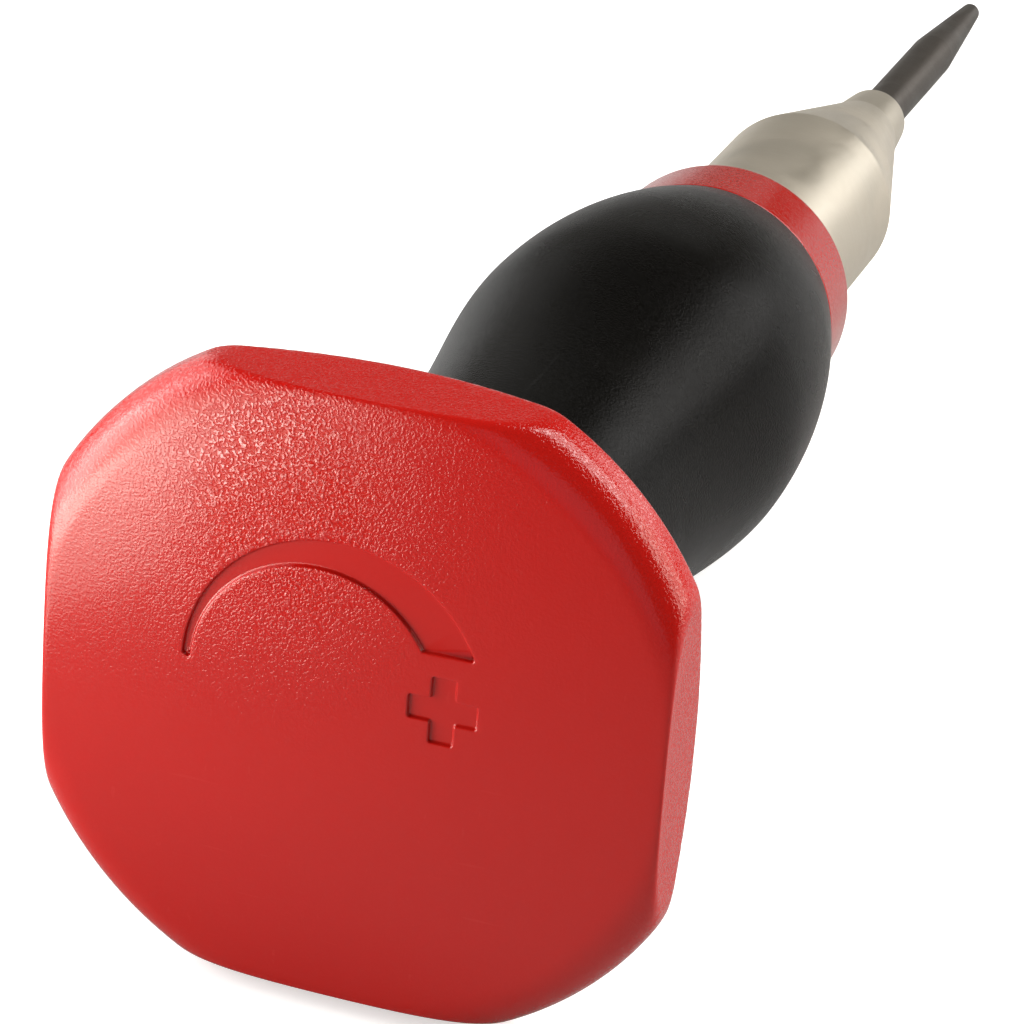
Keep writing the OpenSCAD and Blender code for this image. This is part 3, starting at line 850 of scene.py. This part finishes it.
def makeSpring(name, plan, shape):
    path = coilPath(plan, shape)
    lean = Quaternion((0, 1, 0), math.radians(plan.get("lean", 0)))
    bm = bmesh.new()
    rows = []
    for i, here in enumerate(path):
        run = path[min(i + 1, len(path) - 1)] - path[max(i - 1, 0)]
        side = run.cross(Vector((here.x, here.y, 0))).normalized()
        out = side.cross(run).normalized()
        row = []
        for k in range(shape["sides"]):
            a = 2 * math.pi * k / shape["sides"]
            spot = lean @ (here + (out * math.cos(a) + side * math.sin(a)) * plan["wire"] / 2)
            row.append(bm.verts.new((
                spot.x * mm, -(spot.z + plan.get("foot", 0)) * mm, spot.y * mm)))
        rows.append(row)
    joinRows(bm, rows)
    for row in (rows[0], rows[-1]):
        bm.faces.new(row)
    piece = finishMesh(name, bm, springSteel, plan["body"], plan["node"])
    if "joint" in plan:
        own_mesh(piece)


for name, plan in springPlan.items():
    makeSpring(name, plan, wireShape)


# Inner pieces keep their solids and get their finishes

innerFinish = {
    "spindle": toolSteel, "trip_pin": toolSteel, "hammer": toolSteel, "centring_ring": toolSteel,
    "barrel": toolSteel, "rear_plug": toolSteel, "spring_seat": toolSteel, "adjusting_screw": toolSteel,
    "retaining_clip": springSteel, "guide_bush": bronze, "thrust_washer": bronze, "drag_ring": sealRubber,
}
for name, material in innerFinish.items():
    nodes[name].data.materials.clear()
    nodes[name].data.materials.append(material)
print("inner finishes set")


# Stage: a pale floor that the tip and the cap's lower edge rest on, soft lights and the camera

stageLook = {
    # floorSpan and paintedFloorShadeFrom are in m, floorGap in mm
    "floorSpan": 3.0, "floorGap": 0.1, "floorColour": (0.85, 0.85, 0.85), "floorRough": 0.9,
    # the floor colour that the pieces see is painted shade, darker in front
    "floorLift": 0.5, "paintedFloorShade": (0.3, 0.42), "paintedFloorShadeFrom": (-0.25, -0.15),
    "backdrop": (1, 1, 1), "roomColour": (0.12, 0.107, 0.08),
}
warmWhite = (1.0, 0.97, 0.89)
lightPlan = {
    # place, target and size in mm; glow is the brightness of the panel's face
    "keyPanel": {"place": (-119, -246, 16), "target": (-11, -256, 184), "size": (160, 160), "glow": 5.5,
                 "colour": warmWhite},
    "lowPanel": {"place": (-128, -265, -31), "target": (-124, -291, 167), "size": (130, 120), "glow": 10.0,
                 "colour": warmWhite},
    "cornerPanel": {"place": (-150, -400, 25), "target": (-8, -141, 16), "size": (120, 150), "glow": 1.8,
                    "colour": warmWhite},
    "frontCard": {"place": (70, -560, 30), "target": (10, -141, 10), "size": (260, 220), "glow": 0.42,
                  "colour": (0.85, 1.0, 1.2)},
    "sidePanel": {"place": (-195, -225, 25), "target": (0, -150, 10), "size": (110, 170), "glow": 2.2},
    "nearPanel": {"place": (-85, -172, 22), "target": (0, -142, -6), "size": (60, 80), "glow": 2.8},
    "leftSoftbox": {"place": (-235, -150, 105), "target": (0, -135, 0), "size": (200, 270), "glow": 3.2},
    "leftRearSoftbox": {"place": (-260, 60, 120), "target": (0, -100, 0), "size": (220, 180), "glow": 1.7},
    "rearSoftbox": {"place": (-120, 320, 190), "target": (0, -120, 10), "size": (300, 120), "glow": 0.45},
    "rightRearSoftbox": {"place": (320, 349, 235), "target": (0, -110, 0), "size": (280, 220), "glow": 3.0},
    "rightRearCard": {"place": (190, 330, 100), "target": (0, -60, 0), "size": (180, 100), "glow": 0.45},
    "rightSoftbox": {"place": (230, -80, 80), "target": (0, -125, 0), "size": (200, 150), "glow": 4.9,
                     "colour": (1.0, 0.93, 0.84)},
    "topSoftbox": {"place": (330, 20, 560), "target": (0, -100, 0), "size": (340, 540), "glow": 8.4},
}
cameraPlan = {
    "place": (67.23, -329.41, 101.31), "target": (-0.39, -113.51, 0.26), "roll": 4.52, "lens": 149.5,
    "near": 10,
}


def makeFloor(look):
    # the slope of the line from the tip to the lowest edge of the cap
    slope = max(v.co.z / v.co.y for v in nodes["palm_cap"].data.vertices)
    span = look["floorSpan"] / 2
    bm = bmesh.new()
    corners = [
        bm.verts.new((x, y, slope * y - look["floorGap"] * mm))
        for x, y in ((-span, -span), (span, -span), (span, span), (-span, span))
    ]
    bm.faces.new(corners)
    mesh = bpy.data.meshes.new("floor")
    bm.to_mesh(mesh)
    bm.free()
    floor = bpy.data.objects.new("floor", mesh)
    bpy.context.scene.collection.objects.link(floor)
    material, tree, shader = startFinish("floorPaper", look["floorRough"])
    # the view sees the paper paler than the pieces do; the colour the pieces see carries painted shade,
    # darkest in front, and from below the view looks through it
    ray = put(tree, "ShaderNodeLightPath")
    where = put(tree, "ShaderNodeSeparateXYZ")
    wire(tree, put(tree, "ShaderNodeTexCoord").outputs["Object"], where.inputs["Vector"])
    # painted shade: for the pieces the paper is darker towards the front
    paintedFloorShade = spread(tree, where.outputs["Y"], *look["paintedFloorShadeFrom"], *look["paintedFloorShade"])
    wire(tree, tint(tree, paintedFloorShade, look["floorColour"], ray.outputs["Is Camera Ray"]),
         shader.inputs["Base Color"])
    lift = put(tree, "ShaderNodeEmission", {"Strength": look["floorLift"]})
    none = put(tree, "ShaderNodeEmission", {"Strength": 0.0})
    paler = put(tree, "ShaderNodeMixShader")
    both = put(tree, "ShaderNodeAddShader")
    side = put(tree, "ShaderNodeNewGeometry")
    clear = put(tree, "ShaderNodeBsdfTransparent")
    either = put(tree, "ShaderNodeMixShader")
    out = tree.nodes["Material Output"]
    wire(tree,
         ray.outputs["Is Camera Ray"], paler.inputs["Fac"],
         none.outputs["Emission"], paler.inputs[1],
         lift.outputs["Emission"], paler.inputs[2],
         shader.outputs["BSDF"], both.inputs[0],
         paler.outputs["Shader"], both.inputs[1],
         side.outputs["Backfacing"], either.inputs["Fac"],
         both.outputs["Shader"], either.inputs[1],
         clear.outputs["BSDF"], either.inputs[2],
         either.outputs["Shader"], out.inputs["Surface"])
    mesh.materials.append(material)


def aim(thing, place, target, roll=0.0):
    start, end = Vector(place) * mm, Vector(target) * mm
    thing.location = start
    thing.rotation_mode = "QUATERNION"
    turnRound = Quaternion((0, 0, 1), math.radians(roll))
    thing.rotation_quaternion = (end - start).to_track_quat("-Z", "Y") @ turnRound


def makeLights(plan):
    for name, look in plan.items():
        lamp = bpy.data.lights.new(name, "AREA")
        lamp.shape = "RECTANGLE"
        lamp.size, lamp.size_y = (side * mm for side in look["size"])
        lamp.energy = math.pi * lamp.size * lamp.size_y * look["glow"]
        lamp.color = look.get("colour", (1, 1, 1))
        holder = bpy.data.objects.new(name, lamp)
        bpy.context.scene.collection.objects.link(holder)
        aim(holder, look["place"], look["target"])
        holder.visible_camera = False


def makeCamera(plan):
    camera = bpy.data.cameras.new("camera")
    camera.lens = plan["lens"]
    camera.clip_start = plan["near"] * mm
    holder = bpy.data.objects.new("camera", camera)
    bpy.context.scene.collection.objects.link(holder)
    aim(holder, plan["place"], plan["target"], plan["roll"])
    bpy.context.scene.camera = holder


def makeWorld(look):
    # the camera sees a white backdrop, the pieces are lit by a dim room
    world = bpy.data.worlds.new("studio")
    bpy.context.scene.world = world
    world.use_nodes = True
    tree = world.node_tree
    room = tree.nodes["Background"]
    room.inputs["Color"].default_value = (*look["roomColour"], 1)
    white = put(tree, "ShaderNodeBackground", {"Color": (*look["backdrop"], 1)})
    ray = put(tree, "ShaderNodeLightPath")
    either = put(tree, "ShaderNodeMixShader")
    wire(tree,
         ray.outputs["Is Camera Ray"], either.inputs["Fac"],
         room.outputs["Background"], either.inputs[1],
         white.outputs["Background"], either.inputs[2],
         either.outputs["Shader"], tree.nodes["World Output"].inputs["Surface"])


makeFloor(stageLook)
makeWorld(stageLook)
makeLights(lightPlan)
makeCamera(cameraPlan)
bpy.context.scene.view_settings.view_transform = "Standard"
print("stage ready")
